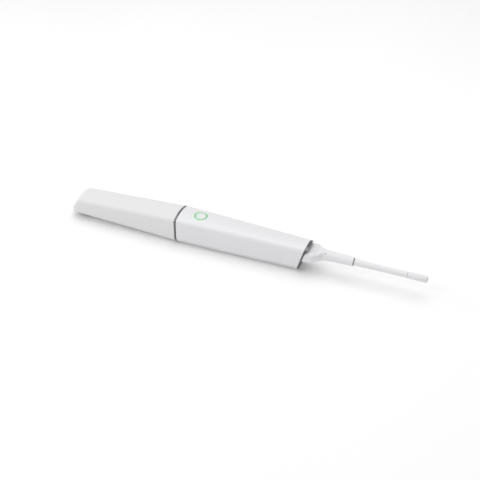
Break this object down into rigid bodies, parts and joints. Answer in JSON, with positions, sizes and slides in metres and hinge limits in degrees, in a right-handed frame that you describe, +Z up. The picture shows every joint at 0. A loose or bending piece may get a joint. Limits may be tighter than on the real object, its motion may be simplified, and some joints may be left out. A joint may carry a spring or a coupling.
{
  "type": "intraoral camera",
  "caption": "Hand-held dental scanning wand with a pull-off sleeve tip that holds a mirror, a lit push button on its tapered two-shell handle and a detachable plug with a short cable.",
  "frame": {"origin": "on the resting plane, under the middle of the wand without its cable", "axes": "+X along the wand from the scanning nose to the cable end, +Z up from the resting face to the button side"},
  "size_m": [0.4049, 0.033, 0.0345],
  "materials": {
    "tip_white": "satin moulded plastic that withstands steam",
    "gloss_white": "smooth glossy white casing",
    "cable_white": "smooth pale elastomer",
    "trim_chrome": "polished dark plated metal",
    "dark_plate": "dark grey matt plastic",
    "black_plastic": "black matt plastic",
    "black_rubber": "soft black rubber",
    "bare_aluminium": "machined aluminium",
    "clear_glass": "coated clear glass",
    "mirror_glass": "front-surface mirror",
    "circuit_board": "green solder mask",
    "screw_steel": "plain steel",
    "green_light": "translucent ring, lit green"
  },
  "bodies": {
    "handle": {"handle_upper_shell": "gloss_white", "handle_lower_shell": "gloss_white", "shell_screw_1": "screw_steel", "shell_screw_2": "screw_steel", "shell_screw_3": "screw_steel", "front_trim_ring": "trim_chrome", "rear_trim_ring": "trim_chrome", "rear_end_plate": "dark_plate", "button_light_ring": "green_light", "button_board": "circuit_board", "button_switch": "black_plastic", "snout_barrel": "black_plastic", "snout_grip_ring": "black_rubber", "snout_window": "clear_glass", "camera_lens_left": "black_plastic", "camera_lens_right": "black_plastic", "projector_lens": "black_plastic", "optics_bench": "bare_aluminium", "image_sensor_board": "circuit_board", "projector_light_engine": "black_plastic", "projector_heat_spreader": "bare_aluminium", "chassis": "bare_aluminium", "main_board": "circuit_board", "image_processor": "black_plastic", "heat_sink": "bare_aluminium", "motion_sensor": "black_plastic", "power_module": "black_plastic", "cable_socket": "screw_steel"},
    "tip": {"tip_shell": "tip_white", "tip_mirror_carrier": "black_plastic", "tip_mirror": "mirror_glass"},
    "button": {"button_cap": "gloss_white"},
    "plug": {"plug_housing": "gloss_white", "plug_tongue": "screw_steel", "cable_boot": "cable_white", "boot_mark": "dark_plate", "boot_end_collar": "dark_plate", "cable": "cable_white", "coupling_shell": "cable_white", "coupling_insert": "black_plastic"}
  },
  "joints": [
    {"name": "tip_slide", "type": "slide", "parent": "handle", "child": "tip", "axis": [-1, 0, 0], "range_m": [0, 0.07]},
    {"name": "button_press", "type": "slide", "parent": "handle", "child": "button", "axis": [0, 0, -1], "range_m": [0, 0.0006], "stiffness_N_per_m": 2000, "springref_m": -0.0005},
    {"name": "plug_slide", "type": "slide", "parent": "handle", "child": "plug", "axis": [1, 0, 0], "range_m": [0, 0.03]}
  ]
}
